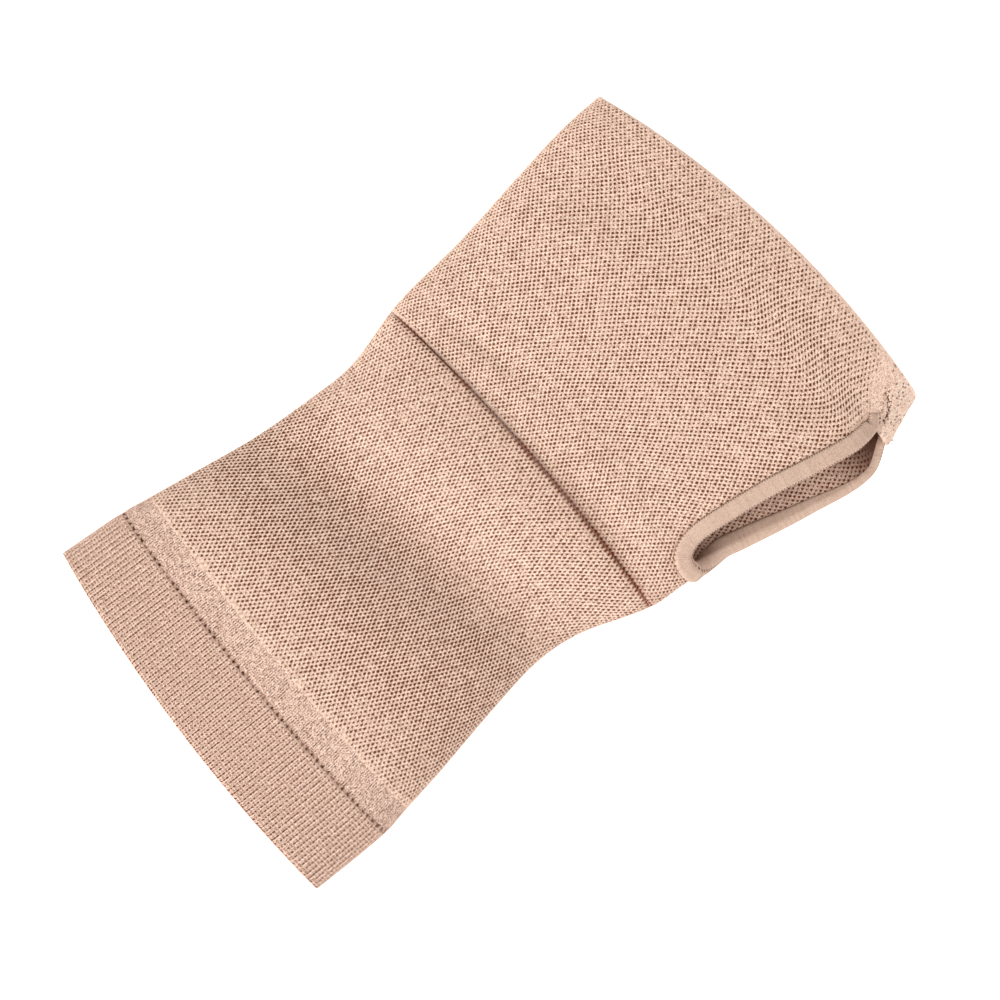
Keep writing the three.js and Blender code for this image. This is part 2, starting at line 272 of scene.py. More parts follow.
def lip_share(ring):
    """How far a rolled edge turns in: less towards the two folds, which keep the corners full."""
    from_fold = np.abs(ring - np.round(ring))
    return rising_from(CORNER_LIP, soft_step(from_fold, 0, CORNER_REACH))


def knit_tube(rows, columns, wales, wall, relief, cut=None, marks=None):
    """A length of the tube as a wall of knit, with its stitches raised from both faces. cut and
    marks are worked out from stations and ring places."""
    along, course, lip = rows
    ring = even_rings(along, columns)
    wale = np.linspace(0, wales, columns + 1)

    def place(i, j, side):
        depth = lip[j] * lip_share(ring[j, i]) + relief(wale[i], course[j])
        return wall_point(along[j], ring[j, i], depth if side else wall - depth)

    def cut_square(i, j):
        return cut((along[j] + along[j + 1]) / 2, (ring[j, i] + ring[j + 1, i + 1]) / 2)

    def marked(mark):
        return lambda i, j: mark(along[j], ring[j, i])

    grid_marks = {name: marked(mark) for name, mark in (marks or {}).items()}
    return thick_sheet(wale, course, place, True, cut_square if cut else None, grid_marks)


def add_piece(name, bm, material):
    """A finished mesh as an object of the scene, with its place in its vertices."""
    mesh = bpy.data.meshes.new(name)
    bm.to_mesh(mesh)
    bm.free()
    mesh.shade_smooth()
    mesh.materials.append(material)
    piece = bpy.data.objects.new(name, mesh)
    bpy.context.scene.collection.objects.link(piece)
    return piece


class Shade:
    """A value of a material, so that the shading is written as expressions."""

    def __init__(self, tree, socket=None):
        self.tree = tree
        self.socket = socket

    def node(self, kind, settings=None, sockets=None, out=0):
        """Adds a node: its settings first, then the values or links of its sockets."""
        node = self.tree.nodes.new(kind)
        for name, value in (settings or {}).items():
            setattr(node, name, value)
        for key, value in (sockets or {}).items():
            if isinstance(value, Shade):
                self.tree.links.new(value.socket, node.inputs[key])
            else:
                node.inputs[key].default_value = value
        return Shade(self.tree, node.outputs[out])

    def maths(self, operation, *values):
        return self.node("ShaderNodeMath", {"operation": operation}, dict(enumerate(values)))

    def __add__(self, other):
        return self.maths("ADD", self, other)

    def __sub__(self, other):
        return self.maths("SUBTRACT", self, other)

    def __rsub__(self, other):
        return self.maths("SUBTRACT", other, self)

    def __mul__(self, other):
        return self.maths("MULTIPLY", self, other)

    __radd__ = __add__
    __rmul__ = __mul__

    def wave(self):
        """A cosine that comes round once for every 1 of the value."""
        return self.maths("COSINE", self * (2 * math.pi))

    def whole(self):
        return self.maths("ROUND", self)

    def size(self):
        return self.maths("ABSOLUTE", self)

    def mark(self, name):
        """A value that the mesh carries at its points."""
        return self.node("ShaderNodeAttribute", {"attribute_name": name}, None, "Fac")

    def ramp(self, low, high):
        """0 below low, 1 above high and a soft step between."""
        sockets = {"Value": self, "From Min": low, "From Max": high}
        return self.node("ShaderNodeMapRange", {"interpolation_type": "SMOOTHSTEP"}, sockets)

    def blend(self, first, second):
        """A colour from first, where the value is 0, to second, where it is 1."""
        return self.node("ShaderNodeMix", {"data_type": "RGBA"}, {0: self, 6: first, 7: second}, 2)


def colour(red, green, blue):
    """A colour as it shows on a screen, 0 to 255, as linear light."""
    return (*[((c / 255 + 0.055) / 1.055) ** 2.4 for c in (red, green, blue)], 1)


SHEEN_ROUGHNESS = 0.4
SHEEN_TINT = colour(246, 214, 196)
YARN_SHINE = 0.02


def new_material(name, roughness, sheen):
    """An empty cloth material: its node tree's start and its shader."""
    material = bpy.data.materials.new(name)
    material.use_nodes = True
    shader = material.node_tree.nodes["Principled BSDF"]
    shader.inputs["Roughness"].default_value = roughness
    shader.inputs["Sheen Weight"].default_value = sheen
    shader.inputs["Sheen Roughness"].default_value = SHEEN_ROUGHNESS
    shader.inputs["Sheen Tint"].default_value = SHEEN_TINT
    shader.inputs["Specular IOR Level"].default_value = YARN_SHINE
    return material, Shade(material.node_tree), shader


def stitch_axes(start):
    """The wale and the course that a point of the knit lies in."""
    place = start.node("ShaderNodeUVMap", {"uv_map": "knit"})
    wale = start.node("ShaderNodeSeparateXYZ", None, {0: place}, "X")
    course = start.node("ShaderNodeSeparateXYZ", None, {0: place}, "Y")
    return wale, course


FLECK_DETAIL = 2.0


def flecks(start, scale):
    """Soft unevenness from point to point, about 0.5, at a scale of lumps to the metre."""
    place = start.node("ShaderNodeTexCoord", None, None, "Object")
    sockets = {"Vector": place, "Scale": scale, "Detail": FLECK_DETAIL}
    return start.node("ShaderNodeTexNoise", None, sockets)


def chance(start, *values):
    """A number from 0 to 1 that is the same wherever the values are. The last value only sets one
    use of it apart from the others."""
    place = start.node("ShaderNodeCombineXYZ", None, dict(enumerate(values)))
    return start.node("ShaderNodeTexWhiteNoise", {"noise_dimensions": "3D"}, {"Vector": place})


def dress(start, shader, tint, height, depth):
    """Gives the shader its colour and the fine relief of the yarn, depth in millimetres."""
    sockets = {"Strength": 1.0, "Distance": depth * MM, "Height": height}
    relief = start.node("ShaderNodeBump", None, sockets)
    start.tree.links.new(tint.socket, shader.inputs["Base Color"])
    start.tree.links.new(relief.socket, shader.inputs["Normal"])


RIBS = 160
CUFF_WALL = 1.8
CUFF_START = STATIONS[0]
CUFF_SEAM = -59.35
CUFF_COURSE = 0.68
CUFF_RIM = (0.9, 0.9)
RIB_COLUMNS = 4
FURROW_DEPTH = 0.3
CHAIN_DEPTH = 0.06

# The rolled edge at a seam, and half the gap there between two pieces
SEAM_LIP = (0.2, 0.06)
HALF_GAP = 0.02

# Where a rib's colour changes: where the painted shade of its furrow begins and where the
# dark line along its middle ends, in ribs from its crest; where the painted shade near the rim
# ends, in millimetres from it; and over which the lines fade towards the seam, in millimetres
# from it
FURROW_EDGE = (0.3, 0.48)
RIB_MIDDLE = (0.03, 0.17)
RIM_SHADE = (-1.0, 0.4)
SEAM_PALE = (0.2, 2.2)
CHAIN_SLANT = 0.9

# Roughness and sheen of the knit, lumps to the metre of the yarn's fuzz and the depth of its relief
KNIT_FINISH = (0.9, 0.05)
YARN_FUZZ = 5200.0
CUFF_YARN = 0.08
CUFF_LIGHT = colour(245, 213, 195)
CUFF_MID = colour(176, 141, 120)
CUFF_LINES_AND_SHADE = colour(96, 52, 30)

# The needle holes of the seam to the sleeve, around the arm, and the puckers round them
NEEDLES = 114
NEEDLE_DEPTH = 0.42
NEEDLE_REACH = 0.5
# The colour of the painted shade at the needle holes and in their furrow
NEEDLE_HOLE_SHADE = colour(84, 36, 12)

# Where the painted shade of a hole begins, round the arm and along it, and that of the furrow
# they lie in
HOLE_EDGE = (0.4, 0.95)
HOLE_REACH = (0.1, 0.5)
NEEDLE_FURROW = (0.1, 0.9)

along, course, lip = tube_rows(CUFF_START, CUFF_SEAM - HALF_GAP, CUFF_COURSE / 2, CUFF_RIM, SEAM_LIP)
cuff_rows = (along, course / 2, lip)
CUFF_END = course[-1] / 2


def needle_dip(share, distance):
    """Depth of the puckers at a share of the girth and a distance from the seam."""
    hole = (0.5 + 0.5 * np.cos(2 * np.pi * NEEDLES * share)) ** 2
    return NEEDLE_DEPTH * hole * np.exp(-(distance / NEEDLE_REACH) ** 2)


def rib_relief(wale, course):
    """Depth below the crests: furrows between the ribs, chain stitches along each rib, and the
    puckers at the seam."""
    furrow = (0.5 - 0.5 * np.cos(2 * np.pi * wale)) ** 3
    chain = 0.5 - 0.5 * np.cos(2 * np.pi * (course + np.abs(wale - np.round(wale))))
    depth = FURROW_DEPTH * furrow + CHAIN_DEPTH * chain * (1 - furrow)
    return depth + needle_dip(wale / RIBS, (CUFF_END - course) * CUFF_COURSE)


def needle_hole_shade(start, needle, distance):
    """Painted shade of the knit at a needle hole, and in the furrow that the holes lie in; needle
    counts the holes around the arm."""
    own = chance(start, needle.whole(), 7.0, 1.0)
    spot = ((needle + 0.4 * (own - 0.5)).wave() + 0.4 * (own - 0.5)).ramp(*HOLE_EDGE)
    spot = spot * (1 - (distance + 0.5 * (own - 0.5)).ramp(*HOLE_REACH)) * (0.4 + 0.55 * own)
    return spot + (0.15 + 0.25 * own) * (1 - distance.ramp(*NEEDLE_FURROW))


def rib_material():
    material, start, shader = new_material("rib_knit", *KNIT_FINISH)
    wale, course = stitch_axes(start)
    lean = (wale - wale.whole()).size()
    slant = course + lean * CHAIN_SLANT
    furrow = lean.ramp(*FURROW_EDGE)
    middle = 1 - lean.ramp(*RIB_MIDDLE)
    tuck = wale.wave() * (course * 0.5).wave()
    loop = slant.wave() * 0.5 + 0.5
    own = chance(start, (wale * 2.0).whole(), course.whole(), 1.0)
    fuzz = flecks(start, YARN_FUZZ)
    beat = 0.6 + 0.42 * course.wave() + 0.3 * tuck + 0.6 * (own - 0.5)
    seam = (CUFF_END - course) * CUFF_COURSE
    rim = 1 - (course * CUFF_COURSE).ramp(*RIM_SHADE)
    # Dark lines: painted shade in the furrows and near the rim, and the knit's own dark line along the
    # middle of each rib
    dash = (furrow * 1.45 + middle * 0.6) * beat * (0.6 + 0.4 * seam.ramp(*SEAM_PALE)) + 0.5 * rim * own
    lit = (0.5 + 0.25 * (loop - 0.5) + 0.4 * (own - 0.5) + 5.0 * (fuzz - 0.5)).ramp(0.0, 1.0)
    tint = dash.ramp(0.0, 1.0).blend(lit.blend(CUFF_MID, CUFF_LIGHT), CUFF_LINES_AND_SHADE)
    hole = needle_hole_shade(start, wale * (NEEDLES / RIBS), seam)
    tint = hole.blend(tint, NEEDLE_HOLE_SHADE)
    dress(start, shader, tint, loop * 0.4 + fuzz * 0.6 - furrow * 0.6, CUFF_YARN)
    return material


cuff_bm = knit_tube(cuff_rows, RIBS * RIB_COLUMNS, RIBS, CUFF_WALL, rib_relief)
rib_cuff = add_piece("rib_cuff_knit", cuff_bm, rib_material())
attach(rib_cuff, "root")
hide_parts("rib_cuff")


# Seam band
# The plain-knit start of the sleeve, lying over the overlocked allowance of the seam, which makes
# it the lightest and flattest stretch. It is sewn to the cuff through both, by a needle line.

WALES = 350
BAND_WALL = 1.6
BAND_END = -53.2
BAND_COURSE = 0.45
BAND_LUMP = 0.14
BAND_RIB = 0.06
BAND_FADE = 3
PLAIN_EDGE = (0.01, 0.0)

# How fast the thread's loops turn, from wale to wale and from course to course, in two crossing runs
BAND_LOOPS = ((1.7, 2.3), (0.61, -1.1))

# Where the dark strokes between the wales begin, across a wale and by their share of the band
STROKE_EDGE = (0.4, 0.95)
STROKE_SHARE = (0.55, 1.05)
BAND_FUZZ = 4600.0
BAND_CLUMPS = 1600.0
BAND_YARN = 0.12
BAND_LIGHT = colour(240, 208, 190)
BAND_MID = colour(164, 130, 111)
BAND_DARK = colour(92, 56, 36)

along, course, lip = tube_rows(CUFF_SEAM + HALF_GAP, BAND_END, BAND_COURSE / 2, SEAM_LIP, PLAIN_EDGE)
band_rows = (along, course / 2, lip)


def crossed_loops(turns, wale, course):
    """Uneven loops of thread, from -1 to 1."""
    return math.prod(np.sin(by_wale * wale + by_course * course) for by_wale, by_course in turns)


def band_relief(wale, course):
    """Depth below the smooth band: its fine wales, the loops of overlock thread that lie under
    it, and the puckers at the seam."""
    loops = crossed_loops(BAND_LOOPS, wale, course)
    ribs = 0.5 - 0.5 * np.cos(2 * np.pi * wale)
    fade = 1 - soft_step(course, band_rows[1][-1] - BAND_FADE, band_rows[1][-1])
    depth = (BAND_LUMP * (0.5 + 0.5 * loops) + BAND_RIB * ribs) * fade
    return depth + needle_dip(wale / WALES, (course - band_rows[1][0]) * BAND_COURSE)


def band_material():
    material, start, shader = new_material("plain_knit", *KNIT_FINISH)
    wale, course = stitch_axes(start)
    leg = wale.wave() * 0.5 + 0.5
    own = chance(start, wale.whole(), course.whole(), 2.0)
    run = chance(start, (wale + 0.5).whole(), (course * 1.4).whole(), 8.0)
    fuzz = flecks(start, BAND_FUZZ)
    clump = flecks(start, BAND_CLUMPS)
    stroke = (1 - leg).ramp(*STROKE_EDGE) * (run + 2.0 * (clump - 0.5)).ramp(*STROKE_SHARE)
    lit = 0.45 + 0.2 * leg + 0.4 * (own - 0.5) + 4.0 * (fuzz - 0.5) + 0.8 * (clump - 0.5)
    lit = lit.ramp(0.0, 1.0)
    tint = (stroke * 0.9).blend(lit.blend(BAND_MID, BAND_LIGHT), BAND_DARK)
    distance = (course - band_rows[1][0]) * BAND_COURSE
    hole = needle_hole_shade(start, wale * (NEEDLES / WALES), distance)
    tint = hole.blend(tint, NEEDLE_HOLE_SHADE)
    dress(start, shader, tint, leg * 0.3 + fuzz * 0.7 - stroke, BAND_YARN)
    return material


band_bm = knit_tube(band_rows, 2 * WALES, WALES, BAND_WALL, band_relief)
seam_band = add_piece("seam_band_knit", band_bm, band_material())
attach(seam_band, "root")
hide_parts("seam_band")


# Needle line
# The thread that sews the sleeve to the cuff: a short stitch of elastic thread lies on the outside
# between each two needle holes, drawn into the cloth.

NEEDLE_STITCH = (0.42, 0.15, 0.14)
NEEDLE_INSET = 0.16
STITCH_NUDGE = 0.002
EGG_SEGMENTS = (6, 5)
THREAD_FINISH = (0.85, 0.05)
THREAD_YARN = 0.05
THREAD_LIGHT = colour(226, 190, 168)
THREAD_MID = colour(184, 146, 124)


def stitch_rings(along, count):
    """The ring places of evenly spaced stitches, each midway between two needle holes."""
    return even_rings([along], 2 * count)[0][1::2]


def wall_axes(along, ring, inset, nudge):
    """The directions round the arm and along it at points of the wall."""
    around = wall_point(along, ring + nudge, inset) - wall_point(along, ring - nudge, inset)
    lengthways = wall_point(along + nudge, ring, inset) - wall_point(along - nudge, ring, inset)
    return around, lengthways


def stitch_row(along, rings, inset, sizes):
    """A row of stitches round the tube, each an egg of thread with half sizes round the arm,
    along it and off the cloth."""
    bm = bmesh.new()
    columns, rows = EGG_SEGMENTS
    centres = wall_point(along, rings, inset)
    for centre, first, second in zip(centres, *wall_axes(along, rings, inset, STITCH_NUDGE)):
        axes = [Vector(first).normalized(), Vector(second).normalized()]
        axes.append(axes[0].cross(axes[1]))
        egg = Matrix([axis * size * MM for axis, size in zip(axes, sizes)]).transposed().to_4x4()
        place = Matrix.Translation(Vector(centre) * MM) @ egg
        bmesh.ops.create_uvsphere(bm, u_segments=columns, v_segments=rows, radius=1, matrix=place)
    return bm


def thread_material():
    material, start, shader = new_material("seam_thread", *THREAD_FINISH)
    fuzz = flecks(start, YARN_FUZZ)
    lit = (0.5 + 1.4 * (fuzz - 0.5)).ramp(0.0, 1.0)
    dress(start, shader, lit.blend(THREAD_MID, THREAD_LIGHT), fuzz, THREAD_YARN)
    return material


seam_thread = thread_material()
needle_bm = stitch_row(CUFF_SEAM, stitch_rings(CUFF_SEAM, NEEDLES), NEEDLE_INSET, NEEDLE_STITCH)
needle_line = add_piece("needle_line_thread", needle_bm, seam_thread)
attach(needle_line, "root")


# Wrist sleeve
# The narrow tube over the wrist: an elastic mesh knit whose tucked loops leave staggered small
# holes, drawn long where the wrist pulls the wales together. It is knitted on from the band.

MESH_START = BAND_END
WRIST_WALL = 1.2
WRIST_COURSE = 0.75
WRIST_LIP = (1.3, 0.7)
PIT_DEPTH = 0.24
PIT_GROWTH = 3

# The stations over which the holes open from the band, counted from the start of the mesh, and
# those over which they begin and cease to gape, and by how much
PORES_OPEN = (-4.5, 3.0)
GAPE_FROM = (-48, -36)
GAPE_TO = (-22, -12)
GAPE = 0.3

# The painted shade of the crease to the palm: its reach, and how much wider it is towards the
# thumb, past which ring places; how uneven it is, by two crossing waves round the arm and by a
# finer one; how dark it is, and what share of that it has at its start, up to which ring places;
# and how dark the painted shade of the hollow on the wrist's side is, and its reach
CREASE_REACH = 0.26
CREASE_WIDER = 0.24
CREASE_WIDENS = (0.35, 0.65)
CREASE_UNEVEN = (0.09, 0.05)
CREASE_WAVES = (61, 23, 187)
CREASE_DARK = 0.8
CREASE_FAINT = 0.3
CREASE_STARTS = (0.05, 0.14)
WRIST_HOLLOW_SHADE = 0.15
WRIST_HOLLOW_REACH = 1.9

PORE_EDGE = (0.06, 0.29)
PORE_SQUASH = 1.3
MESH_FINISH = (0.9, 0.0)
MESH_PATCHES = 700.0
MESH_YARN = 0.14
MESH_LIGHT = colour(251, 219, 199)
MESH_MID = colour(198, 160, 137)
MESH_HOLE_SHADE = colour(98, 44, 14)
CREASE_SHADE = colour(142, 66, 28)
INSIDE_SHADE = colour(84, 44, 28)


def mesh_relief(wale, course):
    """Depth below the loops: a pit at every second crossing of a wale and a course."""
    return PIT_DEPTH * (0.5 + 0.5 * np.cos(np.pi * wale) * np.cos(np.pi * course))


def wrist_relief(wale, course):
    """The mesh, with its pits growing from the plain knit of the band."""
    return mesh_relief(wale, course) * soft_step(course, 0, PIT_GROWTH)


def mesh_material(name):
    material, start, shader = new_material(name, *MESH_FINISH)
    wale, course = stitch_axes(start)
    right = ((wale + course) * 0.5).whole()
    left = ((wale - course) * 0.5).whole()
    own = chance(start, right, left, 3.0)
    thread = chance(start, (wale * 2.0).whole(), (course * 2.0).whole(), 4.0)
    fuzz = flecks(start, YARN_FUZZ)
    patch = flecks(start, MESH_PATCHES)
    aside = wale - (right + left)
    ahead = course - (right - left)
    far = aside * aside + ahead * ahead * PORE_SQUASH
    pores = start.mark("pores")
    closed = 1 - (pores + 0.5 * (patch - 0.5)).ramp(0.0, 1.0)
    far_off = far + 0.5 * closed - 0.25 * (pores - 1) * (1 - closed)
    # The holes are painted dark brown: painted shade of the inside, seen through them
    hole = 1 - (far_off + 0.2 * (own - 0.5) + 0.6 * (fuzz - 0.5)).ramp(*PORE_EDGE)
    lit = 0.35 + 0.35 * far + 0.4 * closed + 0.6 * (thread - 0.5) + 3.5 * (fuzz - 0.5)
    lit = lit.ramp(0.0, 1.0)
    tint = (hole * (0.9 + 0.1 * own)).blend(lit.blend(MESH_MID, MESH_LIGHT), MESH_HOLE_SHADE)
    # Painted shade in the crease and the hollows beside it, broken into darker rungs like a ladder
    rung = 0.85 + 0.35 * (wale * 0.5).wave() + 0.8 * (patch - 0.5) + 0.6 * (thread - 0.5)
    # Painted shade on the inner wall: a little all over it, and much more inside the palm behind the
    # web seam
    inside = start.mark("inside")
    painted_shade = (start.mark("painted_shade") * rung + 0.2 * inside).ramp(0.0, 1.0)
    tint = painted_shade.blend(tint, CREASE_SHADE)
    tint = (inside * start.mark("deep")).blend(tint, INSIDE_SHADE)
    dress(start, shader, tint, fuzz * 0.4 - hole, MESH_YARN)
    return material


def wrist_pores(along, ring):
    """The holes grow from the band, and open wider, so that the mesh is darker, from station -48 to
    -12.
    """
    opened = soft_step(along - MESH_START, *PORES_OPEN)
    return opened + GAPE * soft_step(along, *GAPE_FROM) * (1 - soft_step(along, *GAPE_TO))


def crease_reach(ring):
    """How far the painted shade of the crease at the seam to the palm reaches: unevenly, and more
    towards the thumb.
    """
    first, second, fine = (np.sin(wave * ring) for wave in CREASE_WAVES)
    uneven = CREASE_UNEVEN[0] * first * second + CREASE_UNEVEN[1] * fine
    return CREASE_REACH + CREASE_WIDER * soft_step(ring, *CREASE_WIDENS) + uneven


def crease_painted_shade(apart, ring):
    """Painted shade in the crease itself: less at its end by the little finger."""
    deepen = rising_from(CREASE_FAINT, soft_step(ring, *CREASE_STARTS))
    return CREASE_DARK * deepen * np.exp(-(apart / crease_reach(ring)) ** 2)


def wrist_painted_shade(along, ring):
    """Painted shade in the crease, and in the hollow beside it."""
    apart = along - WRIST_SEAM
    return crease_painted_shade(apart, ring) + WRIST_HOLLOW_SHADE * np.exp(-(apart / WRIST_HOLLOW_REACH) ** 2)


wrist_rows = tube_rows(MESH_START, WRIST_SEAM - HALF_GAP, WRIST_COURSE, PLAIN_EDGE, WRIST_LIP)
wrist_marks = {"pores": wrist_pores, "painted_shade": wrist_painted_shade}
wrist_bm = knit_tube(wrist_rows, WALES, WALES, WRIST_WALL, wrist_relief, marks=wrist_marks)
mesh_knit = mesh_material("mesh_knit")
wrist_sleeve = add_piece("wrist_sleeve_mesh", wrist_bm, mesh_knit)
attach(wrist_sleeve, "root")
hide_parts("wrist_sleeve")


# Palm sleeve
# The wide tube over the palm, of the same mesh knit made double and turned at the finger edge. A
# slit on the thumb side is cut from the tip of the binding to the web seam at the finger edge.

PALM_WALL = 1.6
PALM_COURSE = 0.65
PALM_END = STATIONS[-1]
PALM_LIP = (0.3, 0.1)
FINGER_LIP = (0.8, 0.8)

# The cut edge of the slit: on the upper face in plan, as x and y from its tip to the web seam,
# and round the fold and along the lower face, as y and height
FRONT_EDGE = (
    (36.5, 21.0), (34.4, 21.5), (33.1, 24.6), (33.3, 30.0),
    (35.3, 42.5), (37.6, 52.5), (39.3, 61.0), (38.9, 66.0),
)
BACK_EDGE = ((21.4, 6.0), (22.6, 4.9), (24.2, 4.1), (26.5, 3.4), (30.0, 2.8), (48.0, 2.6), (66.0, 2.6))
FRONT_STEPS = 250
BACK_STEPS = 220
LINE_SAMPLES = 40

# The ring places between which the places on the thumb side are found, and by how many halvings
THUMB_SIDE = (0.5, 1.5)
HALVINGS = 30

# The lines, as x and y, along which the web seam takes up the mesh on the upper and lower face,
# where the web starts, and the ring places that the mesh runs on under it
WEB_FRONT = ((38.3, 65.6), (28.8, 80.8))
WEB_BACK = ((41.1, 65.6), (30.8, 80.8))
WEB_LINE_POINTS = 13
WEB_START = 63.0
WEB_TUCK = 0.8 / 60

# Where the holes of the palm are closed: near the crease and near the finger edge, in millimetres
# from them, and by the web, from a station on and in ring places from the cut edge
CREASE_CLOSED = (0.1, 0.6)
EDGE_CLOSED = (0.2, 0.9)
EDGE_SMALL = 0.88
EDGE_SMALL_REACH = 12
GATHER_START = WEB_START - 4
GATHER_REACH = 0.1
GATHER_SMALL = 0.5

# Painted shade in the hollow of the palm beside the crease: how dark it is, how much darker it is
# by the thumb, past which ring places, and its reach
PALM_HOLLOW_SHADE = 0.08
THUMB_HOLLOW_SHADE = 0.1
THUMB_RINGS = (0.4, 0.65)
PALM_HOLLOW_REACH = 7.5

# How dark the painted shade inside the sleeve gets, and the stations over which it gets so
INSIDE_DARK = 0.93
INSIDE_DARKENS = (49, 62)


def smooth_line(points, steps):
    """Evenly spaced points of a smooth line through the given ones."""
    points = np.array(points)
    last = len(points) - 1
    slopes = np.array([points[min(k + 1, last)] - points[max(k - 1, 0)] for k in range(last + 1)]) / 2
    at = np.linspace(0, last, LINE_SAMPLES * last + 1)
    i = np.minimum(at.astype(int), last - 1)
    rise = points[i + 1] - points[i]
    line = smooth_step_on((at - i)[:, None], points[i], rise, slopes[i], slopes[i + 1])
    run = np.concatenate([[0], np.cumsum(np.linalg.norm(np.diff(line, axis=0), axis=1))])
    even = np.linspace(0, run[-1], steps + 1)
    return np.stack([np.interp(even, run, line[:, k]) for k in range(2)], axis=-1)


def mid_wall(along, ring):
    return wall_point(along, ring, PALM_WALL / 2)


def places_where(y, passed):
    """Stations and ring places on the thumb side of the wall, with given y, where passed first
    fails."""
    along = np.array(y, dtype=float)
    before, after = (np.full_like(along, ring) for ring in THUMB_SIDE)
    for _ in range(HALVINGS):
        ring = (before + after) / 2
        point = mid_wall(along, ring)
        on = passed(point, ring)
        before = np.where(on, ring, before)
        after = np.where(on, after, ring)
        along = along + y - point[:, 1]
    return along, ring


def over_face(line):
    """Places on the upper face at points in plan."""
    return places_where(line[:, 1], lambda point, ring: (ring < 1) & (point[:, 0] < line[:, 0]))


def round_fold(line):
    """Places round the thumb fold at given y and height."""
    return places_where(line[:, 0], lambda point, ring: point[:, 2] > line[:, 1])


def under_face(line):
    """Places on the lower face at points in plan."""
    return places_where(line[:, 1], lambda point, ring: (ring < 1) | (point[:, 0] > line[:, 0]))


front_along, front_ring = over_face(smooth_line(FRONT_EDGE, FRONT_STEPS))
back_along, back_ring = round_fold(smooth_line(BACK_EDGE, BACK_STEPS))
web_front_along, web_front_ring = over_face(np.linspace(*WEB_FRONT, WEB_LINE_POINTS))
web_back_along, web_back_ring = under_face(np.linspace(*WEB_BACK, WEB_LINE_POINTS))
SLIT_TIP = max(front_along[0], back_along[0])


def slit_sides(along):
    """The ring places between which the mesh is left out at a station, for the slit and the web."""
    front = np.interp(along, front_along, front_ring)
    back = np.interp(along, back_along, back_ring)
    web_front = np.interp(along, web_front_along, web_front_ring) + WEB_TUCK
    web_back = np.interp(along, web_back_along, web_back_ring) - WEB_TUCK
    return np.where(along < WEB_START, front, web_front), np.where(along < WEB_START, back, web_back)


def in_slit(along, ring):
    front, back = slit_sides(along)
    return (along > SLIT_TIP) & (ring > front) & (ring < back)


def palm_pores(along, ring):
    """The holes close along the seam, at the turned edge and where the web gathers the mesh."""
    seam = soft_step(along - WRIST_SEAM, *CREASE_CLOSED)
    to_end = PALM_END - along
    edge = rising_from(EDGE_SMALL, soft_step(to_end, 0, EDGE_SMALL_REACH))
    edge = edge * soft_step(to_end, *EDGE_CLOSED)
    front, back = slit_sides(along)
    gather = soft_step(front - ring, 0, GATHER_REACH) + soft_step(ring - back, 0, GATHER_REACH)
    gather = np.where(along > GATHER_START, rising_from(GATHER_SMALL, gather), 1)
    return seam * edge * np.minimum(gather, 1)


def palm_painted_shade(along, ring):
    """Painted shade in the crease, and in the hollow beside it, darker by the thumb."""
    apart = along - WRIST_SEAM
    hollow = PALM_HOLLOW_SHADE + THUMB_HOLLOW_SHADE * soft_step(ring, *THUMB_RINGS)
    return crease_painted_shade(apart, ring) + hollow * np.exp(-(apart / PALM_HOLLOW_REACH) ** 2)


def palm_inside_shade(along, ring):
    """Painted shade inside the sleeve: darkest behind the web seam."""
    return INSIDE_DARK * soft_step(along, *INSIDE_DARKENS)


palm_rows = tube_rows(WRIST_SEAM + HALF_GAP, PALM_END, PALM_COURSE, PALM_LIP, FINGER_LIP)
palm_marks = {"pores": palm_pores, "painted_shade": palm_painted_shade, "deep": palm_inside_shade}
palm_bm = knit_tube(palm_rows, WALES, WALES, PALM_WALL, mesh_relief, in_slit, palm_marks)
palm_sleeve = add_piece("palm_sleeve_mesh", palm_bm, mesh_knit)
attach(palm_sleeve, "root")
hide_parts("palm_sleeve")


# Crease stitches
# The seam between wrist and palm: short cross stitches of elastic thread, which join the two edges
# and draw them down, so that they lie deep in the crease.

CREASE_STITCHES = 170
CREASE_STITCH = (0.12, 0.42, 0.12)
CREASE_INSET = 0.1

crease_rings = stitch_rings(WRIST_SEAM, CREASE_STITCHES)
crease_bm = stitch_row(WRIST_SEAM, crease_rings, CREASE_INSET, CREASE_STITCH)
crease_line = add_piece("crease_stitches_thread", crease_bm, seam_thread)
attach(crease_line, "root")


# Thumb binding
# A satin tape with fine cross ribs, folded over the cut edge of the slit and sewn down on both
# faces. It runs from the web seam round the tip of the slit and back, with its ends in the seam.

# The folded tape: how far it reaches back over the cloth and out past the cut edge, how far it
# stands off the cloth's middle, its thickness, and the height of its cross ribs
TAPE_BACK = 2.8
TAPE_RIM = 1.1
TAPE_OUT = 1.7
TAPE_THICK = 0.6
TAPE_RIB = 0.03
TAPE_LEG_POINTS = 10
TAPE_TURN_POINTS = 11

# Its hems slope down to the cloth, from how far behind the cut edge and by how much
TAPE_HEM = 1.9
TAPE_HEM_DROP = 0.42

# Its run: the step from a rib to the groove beside it, and the reach over which it evens out the
# bends of the edge
TAPE_STEP = 0.14
TAPE_EASE = 1.0
TAPE_NUDGE = 0.01

# Its two ends run on into the web seam. They taper over these lengths to these shares of the width,
# while the rim and the under side keep a share of their own, and are pressed flatter in the seam
TAPE_END = ((38.0, 67.2), (36.4, 68.7))
TAPE_RETURN = ((66.9, 3.4), (67.6, 4.8))
TAPE_TAPER = (5.0, 44.0)
TAPE_TIPS = (0.45, 0.0)
RIM_TIP = 0.4
UNDER_TIP = 0.55
TAPE_TUCK = 1.6
TAPE_PRESSED = 0.8

